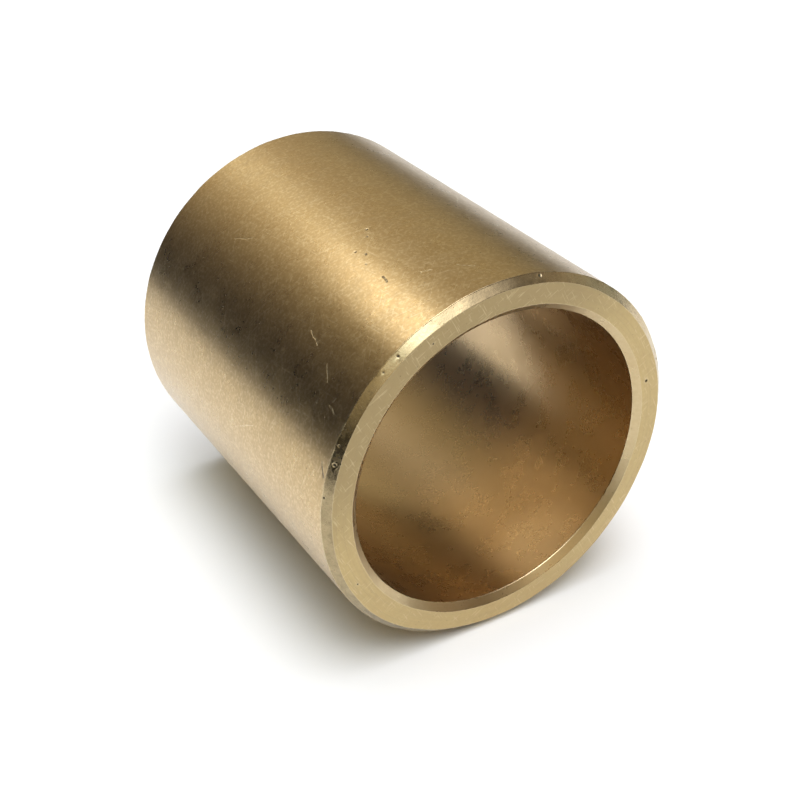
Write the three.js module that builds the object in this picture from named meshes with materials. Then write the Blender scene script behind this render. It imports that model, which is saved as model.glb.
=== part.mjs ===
// Plain cylindrical sleeve bushing (plain bearing), turned from one piece of bronze.
// Units are millimetres, +Z is up. The bushing lies on its side: its axis is the Y axis,
// and the origin is the centre of the bore, halfway along its length.
import * as THREE from 'three';

// ---- driving dimensions (mm) ----------------------------------------------------------
const OUTER_DIAMETER = 34.925;      // 1 3/8 in, pressed into the housing
const INNER_DIAMETER = 28.575;      // 1 1/8 in, runs on the shaft
const LENGTH = 38.1;                // 1 1/2 in, face to face
const OUTER_CHAMFER_RADIAL = 0.66;  // lead-in on the outer edge of both faces, measured on the face
const OUTER_CHAMFER_AXIAL = 0.66;   // and along the outside
const INNER_CHAMFER_RADIAL = 0.66;  // lead-in on the bore edge of both faces, measured on the face
const INNER_CHAMFER_AXIAL = 0.56;   // and down the bore
const SEGMENTS = 120;               // flats round the circumference

// ---- derived --------------------------------------------------------------------------
const HALF = LENGTH / 2;
// The flats, not the corners between them, lie on the true cylinders, so the distance
// across flats is the real diameter outside and in the bore.
const FLAT = 1 / Math.cos(Math.PI / SEGMENTS);
const RO = (OUTER_DIAMETER / 2) * FLAT;
const RI = (INNER_DIAMETER / 2) * FLAT;
const RO_FACE = (OUTER_DIAMETER / 2 - OUTER_CHAMFER_RADIAL) * FLAT;
const RI_FACE = (INNER_DIAMETER / 2 + INNER_CHAMFER_RADIAL) * FLAT;

// Half section of the wall as (radius, position along the axis). It closes on itself.
const wall = [
  [RI, HALF - INNER_CHAMFER_AXIAL],     // bore, back end
  [RI, -HALF + INNER_CHAMFER_AXIAL],    // bore, front end
  [RI_FACE, -HALF],                     // front bore chamfer
  [RO_FACE, -HALF],                     // front face
  [RO, -HALF + OUTER_CHAMFER_AXIAL],    // front outer chamfer
  [RO, HALF - OUTER_CHAMFER_AXIAL],     // outside diameter
  [RO_FACE, HALF],                      // back outer chamfer
  [RI_FACE, HALF],                      // back face
  [RI, HALF - INNER_CHAMFER_AXIAL],     // back bore chamfer
].map(([r, y]) => new THREE.Vector2(r, y));

// Starting half a step round puts a flat, not a corner, at the very bottom.
const sleeveGeometry = new THREE.LatheGeometry(wall, SEGMENTS, Math.PI / SEGMENTS);

const bronze = new THREE.MeshStandardMaterial({
  color: new THREE.Color(0.62, 0.47, 0.27),
  roughness: 0.36,
  metalness: 1.0,
});

const bushing = new THREE.Group();
bushing.name = 'sleeve_bushing';

const sleeve = new THREE.Mesh(sleeveGeometry, bronze);
sleeve.name = 'bushing_sleeve';
bushing.add(sleeve);

export default bushing;
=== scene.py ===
import bpy
import math
import numpy as np
from mathutils import Matrix, Vector


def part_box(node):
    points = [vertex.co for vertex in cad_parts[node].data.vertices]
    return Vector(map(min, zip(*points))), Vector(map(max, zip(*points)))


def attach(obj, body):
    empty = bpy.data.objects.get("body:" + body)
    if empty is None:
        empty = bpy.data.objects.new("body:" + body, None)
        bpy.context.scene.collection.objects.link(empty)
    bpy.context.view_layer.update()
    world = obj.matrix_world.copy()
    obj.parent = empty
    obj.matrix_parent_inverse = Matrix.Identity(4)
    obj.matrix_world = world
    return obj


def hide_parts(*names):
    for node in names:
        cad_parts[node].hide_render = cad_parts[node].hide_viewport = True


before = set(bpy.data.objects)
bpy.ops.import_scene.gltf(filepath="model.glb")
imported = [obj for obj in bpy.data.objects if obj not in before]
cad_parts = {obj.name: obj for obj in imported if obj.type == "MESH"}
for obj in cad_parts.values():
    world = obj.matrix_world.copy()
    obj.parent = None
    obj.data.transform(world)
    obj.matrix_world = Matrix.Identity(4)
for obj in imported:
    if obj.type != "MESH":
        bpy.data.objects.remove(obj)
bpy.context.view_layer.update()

# =====================================================================================
# Sizes, in millimetres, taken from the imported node's box. The sleeve's axis is Y.
# =====================================================================================
lo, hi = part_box("bushing_sleeve")
RO = (hi.z - lo.z) / 2 * 1000.0          # outside radius
HL = (hi.y - lo.y) / 2 * 1000.0          # half length
RI = RO * 9.0 / 11.0                     # bore radius (1 1/8 in bore in a 1 3/8 in outside)
CO_R, CO_A = 0.66, 0.66                  # outer chamfer, on the face and along the outside
CI_R, CI_A = 0.66, 0.56                  # bore chamfer, on the face and down the bore
rng = np.random.default_rng(20261)


# =====================================================================================
# The sleeve: one closed turned body, with edge radii, slightly uneven chamfers, and
# the small pits, nicks and raised burrs a handled bushing carries.
# =====================================================================================
def ripple(theta, orders, amp, seed):
    """A smooth random function of angle that closes on itself."""
    g = np.random.default_rng(seed)
    out = np.zeros_like(theta)
    for k in orders:
        out += g.normal() / math.sqrt(len(orders)) * np.sin(k * theta + g.uniform(0, 2 * math.pi))
    return amp * out


def dense(lo_, hi_, step, extra):
    """Even samples from lo_ to hi_, with a finer cluster round each (centre, half width, step)."""
    base = list(np.linspace(lo_, hi_, max(2, int(round((hi_ - lo_) / step)) + 1)))
    for c, half, s in extra:
        n = int(round(half / s))
        base += [c + k * s for k in range(-n, n + 1) if lo_ < c + k * s < hi_]
    base = sorted(base)
    out = [base[0]]
    for b in base[1:-1]:
        near = min([s for c, half, s in extra if abs(b - c) <= half + 1e-9] + [step])
        if b - out[-1] > 0.45 * near and base[-1] - b > 0.3 * near:
            out.append(b)
    out.append(base[-1])
    return np.array(out)


# Damage: (angle in degrees from +X towards +Z, place, distance in mm, radius in mm, depth in mm).
# place: "od" with y, "face" on the front face with r, "chamfer" on the front outer chamfer with 0..1 from face to
# outside.
PITS = [
    ("chamfer", 161.0, 0.55, 0.20, 0.120),
    ("chamfer", 155.5, 0.70, 0.14, 0.060),
    ("chamfer", 80.5, 0.75, 0.20, 0.090),
    ("chamfer", 127.4, 0.55, 0.16, 0.035),
    ("chamfer", 133.0, 0.60, 0.12, 0.030),
    ("chamfer", 171.0, 0.85, 0.13, 0.040),
    ("chamfer", 18.0, 0.60, 0.18, 0.050),
    ("chamfer", 322.0, 0.60, 0.22, 0.060),
    ("face", 13.5, 15.55, 0.20, 0.060),
    ("face", 118.0, 15.9, 0.10, 0.030),
    ("face", 205.0, 16.1, 0.12, 0.030),
    ("od", 104.6, -3.6, 0.17, 0.090),
    ("od", 106.4, -4.6, 0.13, 0.050),
    ("od", 112.4, -5.6, 0.13, 0.060),
    ("od", 149.6, 3.9, 0.11, 0.050),
    ("od", 38.0, 6.0, 0.20, 0.080),
    ("od", 352.0, -11.0, 0.24, 0.070),
    ("od", 300.0, 9.0, 0.22, 0.080),
    ("od", 230.0, 13.5, 0.20, 0.070),
    ("od", 210.0, -2.0, 0.16, 0.060),
]

theta_extra = [(math.radians(p[1]), p[3] * 1.3 / RO, 0.055 / RO) for p in PITS]
THETA = dense(0.0, 2 * math.pi, 2 * math.pi / 300, theta_extra)[:-1]
NT = len(THETA)

ones = np.ones(NT)
# chamfer widths wander a little round the edge, as a hand-held deburring cut does
fo_r = CO_R * ones + ripple(THETA, (1, 2, 3, 5), 0.045, 3) + ripple(THETA, (9, 14, 23, 37), 0.012, 4)
fo_a = CO_A * ones + ripple(THETA, (1, 2, 4), 0.035, 5) + ripple(THETA, (11, 19, 31, 47), 0.016, 6)
fi_r = CI_R * ones + ripple(THETA, (1, 2, 3), 0.030, 7) + ripple(THETA, (8, 13, 21), 0.008, 8)
fi_a = CI_A * ones + ripple(THETA, (1, 3), 0.020, 9)
bo_r = CO_R * ones + ripple(THETA, (1, 2, 3, 5), 0.040, 13) + ripple(THETA, (9, 14, 23, 37), 0.012, 14)
bo_a = CO_A * ones + ripple(THETA, (1, 2, 4), 0.035, 15) + ripple(THETA, (11, 19, 31, 47), 0.016, 16)
bi_r = CI_R * ones + ripple(THETA, (1, 2, 3), 0.030, 17)
bi_a = CI_A * ones + ripple(THETA, (1, 3), 0.020, 18)

corners = [  # (radius, y, edge radius), round the half section
    (RI * ones, -HL + fi_a, 0.14),
    (RI + fi_r, -HL * ones, 0.07),
    (RO - fo_r, -HL * ones, 0.06),
    (RO * ones, -HL + fo_a, 0.07),
    (RO * ones, HL - bo_a, 0.07),
    (RO - bo_r, HL * ones, 0.06),
    (RI + bi_r, HL * ones, 0.07),
    (RI * ones, HL - bi_a, 0.14),
]
C = [np.stack([np.asarray(r, float), np.asarray(y, float)], 1) for r, y, _ in corners]
E, T = [], []
for k in range(8):
    d = C[(k + 1) % 8] - C[k]
    E.append(d / np.linalg.norm(d, axis=1)[:, None])
for k in range(8):
    turn = np.arccos(np.clip((E[k - 1] * E[k]).sum(1), -1, 1))
    T.append(corners[k][2] * np.tan(turn / 2))

# fractions along each straight: 0 inner chamfer, 1 face, 2 outer chamfer, 3 outside, ... 7 bore
OD_LEN = 2 * HL - 2 * CO_A
od_extra = [((p[2] + HL - CO_A), p[3] * 1.3, 0.055) for p in PITS if p[0] == "od"]
od_at = dense(0.0, OD_LEN, 0.46, od_extra) / OD_LEN
face_w = RO - RI - CO_R - CI_R
face_extra = [((p[2] - RI - CI_R), p[3] * 1.3, 0.06) for p in PITS if p[0] == "face"]
face_at = dense(0.0, face_w, 0.30, face_extra) / face_w
strips = {
    0: np.linspace(0, 1, 7), 1: face_at, 2: np.linspace(0, 1, 12), 3: od_at,
    4: np.linspace(0, 1, 6), 5: np.linspace(0, 1, 6), 6: np.linspace(0, 1, 6), 7: np.linspace(0, 1, 66),
}
# keep a close ring at both ends of each straight, so the flat shades flat right up to its edge radius
for k in strips:
    a = strips[k]
    length = {3: OD_LEN, 7: 2 * HL - 2 * CI_A, 1: face_w, 5: face_w}.get(k, 0.9)
    s = min(0.05 / length, 0.08)
    strips[k] = np.unique(np.r_[0, s, a[(a > 1.6 * s) & (a < 1 - 1.6 * s)], 1 - s, 1])
ARC = (0.22, 0.41, 0.59, 0.78)

rows, zone, arc_row = [], [], []
for k in range(8):
    c, t = C[k], T[k][:, None]
    p0, p2 = c - E[k - 1] * t, c + E[k] * t
    for f in ARC:
        rows.append((1 - f) ** 2 * p0 + 2 * f * (1 - f) * c + f * f * p2)
        zone.append((k - 1) % 8 if f < 0.5 else k)
        arc_row.append(1.0)
    n = C[(k + 1) % 8]
    q0, q1 = p2, n - E[k] * T[(k + 1) % 8][:, None]
    for f in strips[k]:
        rows.append(q0 + (q1 - q0) * f)
        zone.append(k)
        arc_row.append(0.35 if f in (0.0, 1.0) else 0.0)
PR = np.stack(rows)                       # (profile, angle, 2)
NP = len(PR)
zone = np.array(zone)
arc_row = np.array(arc_row)

ct, st = np.cos(THETA), np.sin(THETA)
pos = np.stack([PR[..., 0] * ct, PR[..., 1], PR[..., 0] * st], -1)   # mm
# outward normals of the section, from its own neighbours
tang = np.roll(PR, -1, 0) - np.roll(PR, 1, 0)
tang /= np.linalg.norm(tang, axis=2)[..., None]
nr, ny = tang[..., 1], -tang[..., 0]
sign = np.sign(nr[zone == 3].mean())
nr, ny = nr * sign, ny * sign
nor = np.stack([nr * ct, ny, nr * st], -1)

wear = np.zeros((NP, NT)) + arc_row[:, None] * 0.9
dirt = np.zeros((NP, NT))


def on_surface(place, deg, at):
    th = math.radians(deg)
    if place == "od":
        r, y = RO, at
    elif place == "face":
        r, y = at, -HL
    else:
        r, y = RO - CO_R * (1 - at), -HL + CO_A * at
    return np.array([r * math.cos(th), y, r * math.sin(th)])


for place, deg, at, rad, depth in PITS:
    c = on_surface(place, deg, at)
    d = np.linalg.norm(pos - c, axis=2)
    pit = np.clip(1 - (d / rad) ** 2, 0, 1) ** 2
    rim = np.exp(-(((d - rad * 1.12) / (0.28 * rad)) ** 2))
    pos = pos + nor * (-depth * pit + 0.10 * depth * rim)[..., None]
    dirt = np.maximum(dirt, np.clip(pit * 1.6, 0, 1))
    wear = np.maximum(wear, rim * 0.8)

# a thin raised burr wanders along the edge between the front chamfer and the outside
edge_rows = [i for i in range(NP) if zone[i] in (2, 3) and arc_row[i] == 1.0 and PR[i, :, 1].mean() < 0 and PR[i, :, 0].mean() > RO - 0.2]
burr = 0.010 + np.clip(ripple(THETA, (17, 29, 41, 53, 71, 97), 0.020, 31), 0, 0.05)
for i in edge_rows:
    pos[i] += nor[i] * burr[:, None] * 0.6

verts = pos.reshape(-1, 3) / 1000.0
idx = np.arange(NP * NT).reshape(NP, NT)
a = idx
b = np.roll(idx, -1, 1)
c_ = np.roll(np.roll(idx, -1, 0), -1, 1)
d_ = np.roll(idx, -1, 0)
faces = np.stack([a, b, c_, d_], -1).reshape(-1, 4)
# faces out: compare with the section normal
fc = verts[faces].mean(1)
fn = np.cross(verts[faces[:, 1]] - verts[faces[:, 0]], verts[faces[:, 2]] - verts[faces[:, 0]])
if (fn * nor.reshape(-1, 3)[faces[:, 0]]).sum() < 0:
    faces = faces[:, ::-1]

mesh = bpy.data.meshes.new("bronze_sleeve")
mesh.vertices.add(len(verts))
mesh.vertices.foreach_set("co", verts.astype(np.float32).ravel())
mesh.loops.add(faces.size)
mesh.loops.foreach_set("vertex_index", faces.astype(np.int32).ravel())
mesh.polygons.add(len(faces))
mesh.polygons.foreach_set("loop_start", np.arange(0, faces.size, 4, dtype=np.int32))
mesh.polygons.foreach_set("use_smooth", np.ones(len(faces), bool))
mesh.update(calc_edges=True)
mesh.validate()


def store(name, values):
    at = mesh.attributes.new(name, "FLOAT", "POINT")
    at.data.foreach_set("value", np.asarray(values, np.float32).ravel())


zz = np.repeat(zone[:, None], NT, 1)
store("wear", wear)
store("dirt", dirt)
store("is_bore", np.where(zz == 7, 1.0, 0.0))
store("is_face", np.where((zz == 1) | (zz == 5), 1.0, 0.0))
store("is_chamfer", np.where((zz == 2) | (zz == 4), 1.0, 0.0))
store("is_lip", np.where((zz == 0) | (zz == 6), 1.0, 0.0))

# A texture layout: the outside, the bore and the two end rings, each unrolled into its own strip.
arc_len = np.r_[0, np.cumsum(np.linalg.norm(np.diff(np.concatenate([PR.mean(1), PR[:1].mean(1)]), axis=0), axis=1))]
s_of = arc_len[:-1]
s_end = arc_len[1:]
group = np.where(zone == 3, 0, np.where(zone == 7, 1, np.where(zone <= 2, 2, 3)))
scale = {0: 1.0, 1: 1.0, 2: 2.1, 3: 1.7}
start, v_at, gap = {}, 0.0, 0.7
span = {}
for g in (0, 1, 2, 3):
    rows_g = np.where(group == g)[0]
    if g == 2 or g == 1:      # this group wraps round the start of the profile list
        order = sorted(rows_g, key=lambda i: (i + NP // 2) % NP)
    else:
        order = list(rows_g)
    first = order[0]
    base_s = s_of[first]
    for i in order:
        s0 = (s_of[i] - base_s) % arc_len[-1]
        s1 = s0 + (s_end[i] - s_of[i])
        span[i] = (v_at + s0 * scale[g], v_at + s1 * scale[g])
    v_at = span[order[-1]][1] + gap
total = v_at
uv = mesh.uv_layers.new(name="OFBake")
u_th = np.r_[THETA, 2 * math.pi] / (2 * math.pi) * 0.992 + 0.004
row_of_face = np.repeat(np.arange(NP), NT)
col_of_face = np.tile(np.arange(NT), NP)
v0 = np.array([span[i][0] for i in range(NP)]) / total * 0.992 + 0.004
v1 = np.array([span[i][1] for i in range(NP)]) / total * 0.992 + 0.004
lv = faces.reshape(-1, 4)
vi_row, vi_col = lv // NT, lv % NT
is_next_row = vi_row != row_of_face[:, None]
is_next_col = vi_col != col_of_face[:, None]
U = u_th[col_of_face[:, None] + is_next_col]
V = np.where(is_next_row, v1[row_of_face][:, None], v0[row_of_face][:, None])
uv.data.foreach_set("uv", np.stack([U, V], -1).astype(np.float32).ravel())

sleeve = bpy.data.objects.new("bronze_sleeve", mesh)
bpy.context.scene.collection.objects.link(sleeve)


# =====================================================================================
# Material
# =====================================================================================
class Nodes:
    """Short names for building a node tree."""

    def __init__(self, tree):
        self.t = tree

    def n(self, kind, **inputs):
        node = self.t.nodes.new(kind)
        return node

    def put(self, sock, v):
        if isinstance(v, bpy.types.NodeSocket):
            self.t.links.new(v, sock)
        elif isinstance(v, (tuple, list)):
            v = tuple(v)
            if len(sock.default_value) == 4 and len(v) == 3:
                v = v + (1.0,)
            sock.default_value = v
        else:
            sock.default_value = v

    def m(self, op, x, y=None, z=None, clamp=False):
        node = self.t.nodes.new("ShaderNodeMath")
        node.operation = op
        node.use_clamp = clamp
        self.put(node.inputs[0], x)
        if y is not None:
            self.put(node.inputs[1], y)
        if z is not None:
            self.put(node.inputs[2], z)
        return node.outputs[0]

    def v(self, op, x, y=None, scale=None):
        node = self.t.nodes.new("ShaderNodeVectorMath")
        node.operation = op
        self.put(node.inputs[0], x)
        if y is not None:
            self.put(node.inputs[1], y)
        if scale is not None:
            self.put(node.inputs["Scale"], scale)
        return node.outputs["Value"] if op in ("LENGTH", "DOT_PRODUCT", "DISTANCE") else node.outputs[0]

    def xyz(self, x, y, z):
        node = self.t.nodes.new("ShaderNodeCombineXYZ")
        for s, q in zip(node.inputs, (x, y, z)):
            self.put(s, q)
        return node.outputs[0]

    def split(self, vec):
        node = self.t.nodes.new("ShaderNodeSeparateXYZ")
        self.put(node.inputs[0], vec)
        return node.outputs

    def noise(self, vec, scale, detail=2.0, rough=0.5, dist=0.0):
        node = self.t.nodes.new("ShaderNodeTexNoise")
        self.put(node.inputs["Vector"], vec)
        self.put(node.inputs["Scale"], scale)
        self.put(node.inputs["Detail"], detail)
        self.put(node.inputs["Roughness"], rough)
        self.put(node.inputs["Distortion"], dist)
        return node.outputs[0]

    def cells(self, vec, scale, rand=1.0):
        node = self.t.nodes.new("ShaderNodeTexVoronoi")
        self.put(node.inputs["Vector"], vec)
        self.put(node.inputs["Scale"], scale)
        self.put(node.inputs["Randomness"], rand)
        return node.outputs["Distance"], node.outputs["Color"]

    def step(self, x, a, b, lo_=0.0, hi_=1.0):
        node = self.t.nodes.new("ShaderNodeMapRange")
        node.interpolation_type = "SMOOTHSTEP"
        self.put(node.inputs["Value"], x)
        self.put(node.inputs["From Min"], a)
        self.put(node.inputs["From Max"], b)
        self.put(node.inputs["To Min"], lo_)
        self.put(node.inputs["To Max"], hi_)
        return node.outputs["Result"]

    def mix(self, f, x, y, kind="MIX"):
        node = self.t.nodes.new("ShaderNodeMix")
        node.data_type = "RGBA"
        node.blend_type = kind
        self.put(node.inputs[0], f)
        self.put(node.inputs[6], x)
        self.put(node.inputs[7], y)
        return node.outputs[2]

    def lerp(self, f, x, y):
        node = self.t.nodes.new("ShaderNodeMix")
        node.data_type = "FLOAT"
        self.put(node.inputs[0], f)
        self.put(node.inputs[2], x)
        self.put(node.inputs[3], y)
        return node.outputs[0]

    def attr(self, name):
        node = self.t.nodes.new("ShaderNodeAttribute")
        node.attribute_name = name
        return node.outputs["Fac"]

    def bump(self, height, strength, distance, normal=None):
        node = self.t.nodes.new("ShaderNodeBump")
        self.put(node.inputs["Height"], height)
        self.put(node.inputs["Strength"], strength)
        self.put(node.inputs["Distance"], distance)
        if normal is not None:
            self.put(node.inputs["Normal"], normal)
        return node.outputs[0]


mat = bpy.data.materials.new("bearing_bronze")
mat.use_nodes = True
nt = mat.node_tree
nt.nodes.clear()
N = Nodes(nt)
out = nt.nodes.new("ShaderNodeOutputMaterial")
bsdf = nt.nodes.new("ShaderNodeBsdfPrincipled")
nt.links.new(bsdf.outputs[0], out.inputs[0])
bsdf.inputs["Metallic"].default_value = 1.0
bsdf.inputs["Coat Weight"].default_value = 0.35          # a thin film of oil
bsdf.inputs["Coat Roughness"].default_value = 0.28
bsdf.inputs["Coat IOR"].default_value = 1.46

P = N.v("SCALE", nt.nodes.new("ShaderNodeTexCoord").outputs["Object"], scale=1000.0)   # mm
px, py, pz = N.split(P)
r = N.v("LENGTH", N.xyz(px, 0.0, pz))
bore, face, chamfer, lip = N.attr("is_bore"), N.attr("is_face"), N.attr("is_chamfer"), N.attr("is_lip")
wear_a, dirt_a = N.attr("wear"), N.attr("dirt")
ring = N.m("ADD", face, N.m("ADD", chamfer, lip), clamp=True)

# --- colour -------------------------------------------------------------------------
OD_COL = (0.545, 0.378, 0.168)
BORE_COL = (0.625, 0.455, 0.258)
FACE_COL = (0.525, 0.397, 0.184)
CHAM_COL = (0.610, 0.480, 0.275)
col = N.mix(bore, OD_COL, BORE_COL)
col = N.mix(face, col, FACE_COL)
col = N.mix(N.m("ADD", chamfer, lip, clamp=True), col, CHAM_COL)

cloud = N.noise(P, 0.11, 3.0, 0.55)                       # tarnish, centimetres
cloud2 = N.noise(N.v("ADD", P, (31.0, 7.0, 11.0)), 0.42, 4.0, 0.6)   # blotches, millimetres
mott = N.noise(P, 2.2, 3.0, 0.6)                          # fine mottle
turn = N.noise(N.xyz(N.m("MULTIPLY", px, 0.16), N.m("MULTIPLY", py, 5.5), N.m("MULTIPLY", pz, 0.16)), 1.0, 4.0, 0.62)
col = N.mix(N.step(cloud, 0.38, 0.70, 0.0, 0.26), col, (0.50, 0.345, 0.150))
col = N.mix(N.m("MULTIPLY", N.step(cloud2, 0.42, 0.75, 0.0, 0.20), N.lerp(bore, 1.0, 0.5)), col, (0.53, 0.405, 0.215))
col = N.mix(N.m("MULTIPLY", N.step(mott, 0.35, 0.7, 0.0, 0.20), N.lerp(bore, 1.0, 0.15)), col, (0.44, 0.30, 0.14))
col = N.mix(N.m("MULTIPLY", N.step(turn, 0.45, 0.75, 0.0, 0.22), N.m("MULTIPLY", N.m("SUBTRACT", 1.0, ring), N.lerp(bore, 1.0, 0.3))), col, (0.62, 0.49, 0.29))
# painted reflection: inside the mouth, low on the +X side, a brighter patch is painted on the bore in place of
# reflected light
painted_reflection_centre = (math.cos(math.radians(-64)) * 14.29, -16.8, math.sin(math.radians(-64)) * 14.29)
painted_mouth_reflection = N.step(N.v("LENGTH", N.v("SUBTRACT", P, painted_reflection_centre)), 6.0, 1.5)
col = N.mix(N.m("MULTIPLY", N.m("MULTIPLY", painted_mouth_reflection, bore), 0.75), col, (0.90, 0.72, 0.46))
# end faces: rings left by the facing tool
lath = N.noise(N.xyz(N.m("MULTIPLY", r, 7.0), N.m("MULTIPLY", px, 0.10), N.m("MULTIPLY", pz, 0.10)), 1.0, 4.0, 0.65)
col = N.mix(N.m("MULTIPLY", N.step(lath, 0.40, 0.72, 0.0, 0.50), face), col, (0.42, 0.315, 0.155))
# painted shade: the end faces are darkened towards their upper left (+Z and -X)
painted_face_shade = N.step(N.m("ADD", N.m("MULTIPLY", px, -0.42), N.m("MULTIPLY", pz, 0.90)), 2.0, 12.0, 0.0, 0.75)
col = N.mix(N.m("MULTIPLY", painted_face_shade, face), col, (0.30, 0.222, 0.108))
# chamfers: dark stained patches at random
stain = N.noise(N.v("ADD", P, (3.0, 17.0, 5.0)), 1.15, 4.0, 0.7)
col = N.mix(N.m("MULTIPLY", N.step(stain, 0.52, 0.70, 0.0, 0.65), chamfer), col, (0.24, 0.180, 0.095))
# painted shade on the chamfers, darkest round the left of each end and over the top, broken up by the stain pattern
turned = N.m("ARCTAN2", N.m("MULTIPLY", px, -1.0), pz)          # 0 at the top, positive towards -X
painted_chamfer_shade = N.m("MULTIPLY", N.step(turned, 1.10, 1.45), N.step(turned, 2.80, 2.25))
painted_shade_over_top = N.m("MULTIPLY", N.step(turned, -0.75, -0.50), N.step(turned, 0.33, 0.20))
painted_chamfer_shade = N.m("MAXIMUM", painted_chamfer_shade, N.m("MULTIPLY", painted_shade_over_top, 0.85))
painted_chamfer_shade = N.m("MULTIPLY", painted_chamfer_shade, N.m("MULTIPLY", chamfer, N.step(stain, 0.25, 0.65, 0.50, 0.80)))
col = N.mix(painted_chamfer_shade, col, (0.265, 0.208, 0.112))
# open pores: small dark specks
pd, pc = N.cells(P, 1.35)
keep = N.m("GREATER_THAN", N.split(pc)[0], 0.90)
pore = N.m("MULTIPLY", N.step(pd, 0.10, 0.045), keep)
pd2, pc2 = N.cells(N.v("ADD", P, (5.0, 9.0, 2.0)), 3.4)
pore2 = N.m("MULTIPLY", N.step(pd2, 0.20, 0.09), N.m("GREATER_THAN", N.split(pc2)[0], 0.91))
pores = N.m("MAXIMUM", pore, N.m("MULTIPLY", pore2, 0.55))
pores = N.m("MULTIPLY", pores, N.lerp(bore, 1.0, 0.10))

# scratches: fine random hairlines, and the few longer ones that can be told apart
around = N.m("MULTIPLY", N.m("ARCTAN2", N.m("MULTIPLY", px, -1.0), pz), RO)     # mm round from the top, towards -X
od_only = N.m("SUBTRACT", 1.0, N.m("ADD", bore, ring, clamp=True), clamp=True)


def hairlines(u, v, deg, seed, length, width, level):
    c_a, s_a = math.cos(math.radians(deg)), math.sin(math.radians(deg))
    along = N.m("ADD", N.m("MULTIPLY", u, c_a), N.m("MULTIPLY", v, s_a))
    across = N.m("SUBTRACT", N.m("MULTIPLY", v, c_a), N.m("MULTIPLY", u, s_a))
    n = N.noise(N.xyz(N.m("MULTIPLY", along, 1.0 / length), N.m("MULTIPLY", across, 1.0 / width), seed), 1.0, 1.0, 0.4)
    return N.step(n, level, level + 0.05)


def stroke(deg0, y0, deg1, y1, half):
    u0, u1 = RO * math.radians(deg0 - 90), RO * math.radians(deg1 - 90)
    ex, ey = u1 - u0, y1 - y0
    q = N.v("SUBTRACT", strokes_uv, (u0, y0, 0.0))
    t = N.m("MULTIPLY", N.v("DOT_PRODUCT", q, (ex, ey, 0.0)), 1.0 / (ex * ex + ey * ey), clamp=True)
    d = N.v("LENGTH", N.v("SUBTRACT", q, N.v("MULTIPLY", N.xyz(t, t, t), (ex, ey, 0.0))))
    return N.m("MULTIPLY", N.step(d, half, half * 0.35), N.m("MULTIPLY_ADD", stroke_break, 0.6, 0.4))


wander = N.noise(P, 1.3, 1.0, 0.5)
stroke_break = N.step(N.noise(P, 3.1, 1.0, 0.5), 0.35, 0.55)
strokes_uv = N.xyz(N.m("MULTIPLY_ADD", N.m("SUBTRACT", wander, 0.5), 0.35, around), py, 0.0)
hair = N.m("MAXIMUM", hairlines(around, py, 24, 1.5, 2.6, 0.11, 0.665), hairlines(around, py, -41, 7.5, 1.9, 0.10, 0.675))
hair = N.m("MAXIMUM", hair, hairlines(around, py, 83, 13.5, 2.2, 0.11, 0.68))
hair = N.m("MULTIPLY", hair, od_only)
hair_f = N.m("MAXIMUM", hairlines(px, pz, 31, 3.5, 1.4, 0.09, 0.665), hairlines(px, pz, -62, 9.5, 1.2, 0.09, 0.665))
hair = N.m("MAXIMUM", hair, N.m("MULTIPLY", hair_f, face))
LINES = [  # front part of the outside: (degrees, y) to (degrees, y), half width in mm
    (140.9, -12.9, 144.2, -14.1, 0.075), (148.9, -15.7, 149.4, -16.6, 0.09), (147.3, -15.9, 146.0, -16.0, 0.10),
    (105.6, -12.8, 103.0, -13.2, 0.10), (96.9, -14.0, 93.7, -15.1, 0.08), (136.9, -8.8, 138.7, -10.6, 0.06),
    (171.5, -6.0, 176.0, -3.5, 0.07), (128.0, 6.0, 131.5, 8.2, 0.07), (70.0, -2.0, 63.0, 1.0, 0.08),
    (40.0, -9.0, 28.0, -3.0, 0.09), (10.0, 6.0, 14.0, 12.5, 0.08), (222.0, 2.0, 236.0, 5.5, 0.09),
]
lines = None
for ln in LINES:
    st_ = stroke(*ln)
    lines = st_ if lines is None else N.m("MAXIMUM", lines, st_)
lines = N.m("MULTIPLY", lines, od_only)
DARK_LINES = [(113.2, -10.5, 113.9, -11.4, 0.13), (111.0, -6.6, 111.1, -6.75, 0.16), (113.4, -7.8, 113.4, -7.9, 0.13),
              (162.4, -17.4, 165.6, -18.1, 0.13), (145.2, -2.2, 145.3, -2.3, 0.10)]
dark_lines = None
for ln in DARK_LINES:
    st_ = stroke(*ln)
    dark_lines = st_ if dark_lines is None else N.m("MAXIMUM", dark_lines, st_)
dark_lines = N.m("MULTIPLY", dark_lines, od_only)
col = N.mix(N.m("MULTIPLY", pores, 0.75), col, (0.10, 0.070, 0.035))
col = N.mix(N.m("MULTIPLY", hair, 0.30), col, (0.80, 0.66, 0.42))
col = N.mix(N.m("MULTIPLY", lines, 0.60), col, (0.82, 0.70, 0.46))
col = N.mix(N.m("MULTIPLY", dark_lines, 0.85), col, (0.06, 0.045, 0.025))
sparkle = N.noise(N.v("ADD", P, (2.0, 5.0, 8.0)), 3.6, 2.0, 0.6)
col = N.mix(N.m("MULTIPLY", N.step(sparkle, 0.48, 0.70, 0.0, 0.34), od_only), col, (0.86, 0.70, 0.42))
col = N.mix(N.m("MULTIPLY", N.step(sparkle, 0.52, 0.33, 0.0, 0.24), od_only), col, (0.40, 0.27, 0.12))
col = N.mix(N.m("MULTIPLY", dirt_a, 0.95, clamp=True), col, (0.020, 0.016, 0.010))
col = N.mix(N.m("MULTIPLY", wear_a, 0.35), col, (0.72, 0.60, 0.38))
nt.links.new(col, bsdf.inputs["Base Color"])

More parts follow.
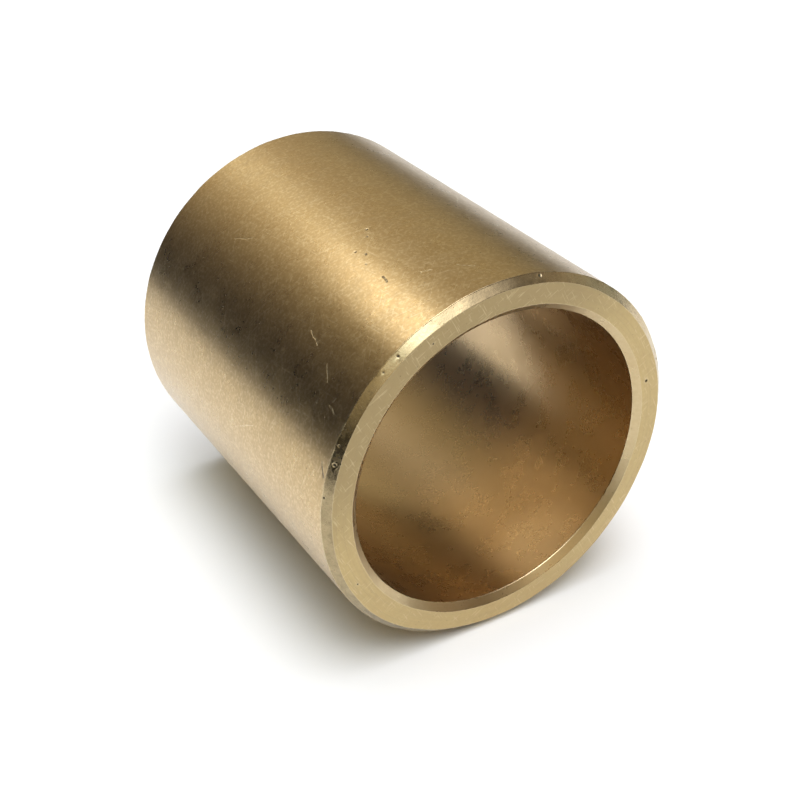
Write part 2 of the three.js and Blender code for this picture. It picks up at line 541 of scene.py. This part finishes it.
# --- roughness ----------------------------------------------------------------------
rough = N.lerp(bore, 0.31, 0.28)
rough = N.lerp(face, rough, 0.37)
rough = N.lerp(chamfer, rough, 0.25)
rough = N.m("ADD", rough, N.step(cloud2, 0.35, 0.7, -0.02, 0.03))
rough = N.m("ADD", rough, N.m("MULTIPLY", N.step(mott, 0.3, 0.75, -0.03, 0.04), N.lerp(bore, 1.0, 0.25)))
rough = N.m("ADD", rough, N.m("MULTIPLY", pores, 0.25))
rough = N.m("ADD", rough, N.m("MULTIPLY", dirt_a, 0.45))
rough = N.m("SUBTRACT", rough, N.m("MULTIPLY", wear_a, 0.06), clamp=True)
nt.links.new(rough, bsdf.inputs["Roughness"])

# --- relief -------------------------------------------------------------------------
grain = N.noise(P, 4.2, 2.0, 0.6)
grain2 = N.noise(P, 2.1, 2.0, 0.5)
relief = N.m("ADD", N.m("MULTIPLY", grain, N.lerp(bore, 1.0, 0.03)), N.m("MULTIPLY", grain2, N.lerp(bore, 0.30, 0.02)))
relief = N.m("ADD", relief, N.m("MULTIPLY", turn, N.lerp(bore, 0.30, 0.06)))
relief = N.m("SUBTRACT", relief, N.m("MULTIPLY", pores, 1.6))
relief = N.m("ADD", relief, N.m("MULTIPLY", N.m("MULTIPLY", lath, face), 0.7))
relief = N.m("SUBTRACT", relief, N.m("MULTIPLY", hair, 0.35))
relief = N.m("SUBTRACT", relief, N.m("MULTIPLY", lines, 2.2))
relief = N.m("SUBTRACT", relief, N.m("MULTIPLY", dark_lines, 3.0))
nrm = N.bump(relief, 1.0, 0.0000055)
nt.links.new(nrm, bsdf.inputs["Normal"])

mesh.materials.append(mat)
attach(sleeve, "root")
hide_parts("bushing_sleeve")

# =====================================================================================
# Floor
# =====================================================================================
FLOOR_Z = -RO / 1000.0 - 0.00004


def plane(name, x0, x1, y0, y1, z):
    me = bpy.data.meshes.new(name)
    me.from_pydata([(x0, y0, z), (x1, y0, z), (x1, y1, z), (x0, y1, z)], [], [(0, 1, 2, 3)])
    ob = bpy.data.objects.new(name, me)
    bpy.context.scene.collection.objects.link(ob)
    return ob


floor = plane("floor_sheet", -0.085, 0.70, -0.60, 0.90, FLOOR_Z)
fm = bpy.data.materials.new("white_paper")
fm.use_nodes = True
fb = fm.node_tree.nodes["Principled BSDF"]
fb.inputs["Base Color"].default_value = (0.85, 0.855, 0.84, 1)
fb.inputs["Roughness"].default_value = 0.85
fb.inputs["Specular IOR Level"].default_value = 0.2
floor.data.materials.append(fm)

# =====================================================================================
# Camera: the photograph's view, 31.3 degrees round from the axis and 32 degrees down
# =====================================================================================
cam_data = bpy.data.cameras.new("camera")
cam_data.sensor_width = 36.0
cam_data.lens = 60.004
cam_data.clip_start = 0.005
cam_data.clip_end = 20.0
cam = bpy.data.objects.new("camera", cam_data)
bpy.context.scene.collection.objects.link(cam)
right = Vector((0.85453353, -0.51939623, 0.0))
down = Vector((-0.27499049, -0.45242645, -0.84834577))
fwd = Vector((0.44062759, 0.72493991, -0.52944259))
rot = Matrix((right, -down, -fwd)).transposed().to_4x4()
cam.matrix_world = Matrix.Translation(Vector((-56.19642705, -94.27151901, 64.852156)) / 1000.0) @ rot
bpy.context.scene.camera = cam

# =====================================================================================
# Light
# =====================================================================================
def direction(az, el):
    """Unit vector at an azimuth from +Y towards +X, and an elevation, in degrees."""
    a_, e_ = math.radians(az), math.radians(el)
    return Vector((math.sin(a_) * math.cos(e_), math.cos(a_) * math.cos(e_), math.sin(e_)))


def softbox(name, az, el, dist, w, h, power, colour=(1, 1, 1)):
    ld = bpy.data.lights.new(name, "AREA")
    ld.shape = "RECTANGLE"
    ld.size, ld.size_y = w, h
    ld.energy = power
    ld.color = colour
    ob = bpy.data.objects.new(name, ld)
    bpy.context.scene.collection.objects.link(ob)
    p = direction(az, el) * dist
    ob.location = p
    ob.rotation_euler = (-p).to_track_quat("-Z", "Y").to_euler()
    ob.visible_camera = False
    return ob


near = softbox("key_close_behind", 0, 45, 0.1, 0.024, 0.024, 0.0038)
near.location = (-0.019, 0.030, 0.060)
near.rotation_euler = (Vector((-0.0076, -0.014, 0.0157)) - near.location).to_track_quat("-Z", "Y").to_euler()
world = bpy.data.worlds.new("studio")
bpy.context.scene.world = world
world.use_nodes = True
wt = world.node_tree
wt.nodes.clear()
W = Nodes(wt)
wout = wt.nodes.new("ShaderNodeOutputWorld")
bg = wt.nodes.new("ShaderNodeBackground")
bg_cam = wt.nodes.new("ShaderNodeBackground")
bg_cam.inputs[0].default_value = (1, 1, 1, 1)
bg_cam.inputs[1].default_value = 1.0
mixs = wt.nodes.new("ShaderNodeMixShader")
wt.links.new(wt.nodes.new("ShaderNodeLightPath").outputs["Is Camera Ray"], mixs.inputs[0])
wt.links.new(bg.outputs[0], mixs.inputs[1])
wt.links.new(bg_cam.outputs[0], mixs.inputs[2])
wt.links.new(mixs.outputs[0], wout.inputs[0])
D = wt.nodes.new("ShaderNodeTexCoord").outputs["Generated"]
# soft round patches of light: azimuth, elevation, tightness, colour and strength
PATCHES = [
    (0, 90, 18, (5.25, 5.25, 5.75)),        # overhead
    (180, 70, 18, (3.45, 3.32, 3.38)),      # over the camera
    (205, 60, 56, (4.50, 4.70, 4.75)), (185, 60, 56, (1.55, 1.66, 1.68)),
    (185, 45, 56, (0.70, 0.99, 1.30)), (205, 45, 56, (0.75, 1.00, 1.07)),
    (270, 70, 18, (0.70, 0.91, 0.95)),
    (2, 30, 120, (0.85, 0.95, 0.92)), (0, 26, 18, (0.92, 0.78, 0.55)),
    (36, 26, 18, (0.48, 0.42, 0.27)), (90, 6, 18, (0.44, 0.50, 0.47)), (108, 26, 18, (0.52, 0.43, 0.32)),
    (180, 26, 18, (0.62, 0.42, 0.15)), (216, 26, 18, (0.51, 0.44, 0.29)),
    (315, 48, 18, (0.24, 0.20, 0.06)), (135, 6, 18, (0.14, 0.05, 0.0)), (324, 26, 18, (0.03, 0.03, 0.06)),
]
total_light = None
above = W.step(W.split(D)[2], -0.03, 0.03)
for az, el, tight, tint in PATCHES:
    e_ = W.m("EXPONENT", W.m("MULTIPLY", W.m("SUBTRACT", W.v("DOT_PRODUCT", D, tuple(direction(az, el))), 1.0), tight))
    part = W.v("MULTIPLY", W.xyz(e_, e_, e_), tint)
    total_light = part if total_light is None else W.v("ADD", total_light, part)
wt.links.new(W.v("MULTIPLY", total_light, W.xyz(above, above, above)), bg.inputs[0])
bg.inputs[1].default_value = 1.0

bpy.context.scene.view_settings.view_transform = "Standard"
bpy.context.scene.view_settings.look = "None"

bpy.context.view_layer.update()
